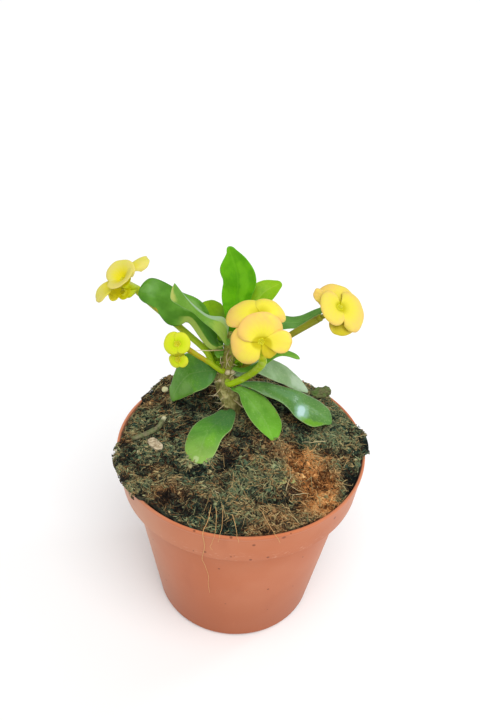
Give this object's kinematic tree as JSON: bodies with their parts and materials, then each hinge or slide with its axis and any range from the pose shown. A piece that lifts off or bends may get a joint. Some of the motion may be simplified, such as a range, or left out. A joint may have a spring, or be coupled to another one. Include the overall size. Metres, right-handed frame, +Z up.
{
  "type": "potted crown of thorns",
  "caption": "Young thorny euphorbia with green leaves and yellow blooms on slim stalks, in a tapered round nursery pot filled with mossy soil.",
  "frame": {"origin": "centre of the pot's underside, on the flat pad that lies level with its feet", "axes": "+Z up along the pot's axis, -Y towards the plant's front bloom, +X to the right as seen from the front"},
  "size_m": [0.1283, 0.12, 0.1881],
  "materials": {
    "pot_plastic": "satin",
    "soil_mix": "rough fibrous",
    "bark": "rough",
    "leaf_green": "satin",
    "stalk_green": "satin",
    "bract_yellow": "matte",
    "litter_wood": "rough"
  },
  "bodies": {
    "root": {"pot": "pot_plastic", "soil": "soil_mix", "stem": "bark", "leaf_upright": "leaf_green", "leaf_back_right": "leaf_green", "leaf_back_left": "leaf_green", "leaf_left_broad": "leaf_green", "leaf_left_folded": "leaf_green", "leaf_right_back": "leaf_green", "leaf_right_short": "leaf_green", "leaf_left_low": "leaf_green", "leaf_front_left": "leaf_green", "leaf_front_right": "leaf_green", "leaf_right_long": "leaf_green", "leaf_right_high": "leaf_green", "stalk_left": "stalk_green", "stalk_front": "stalk_green", "stalk_right": "stalk_green", "stalk_small": "stalk_green", "bloom_left": "bract_yellow", "bloom_front": "bract_yellow", "bloom_right": "bract_yellow", "bloom_small": "bract_yellow", "bark_chip": "litter_wood", "twig": "litter_wood", "pale_bead": "litter_wood", "bark_lump": "litter_wood"}
  },
  "joints": []
}
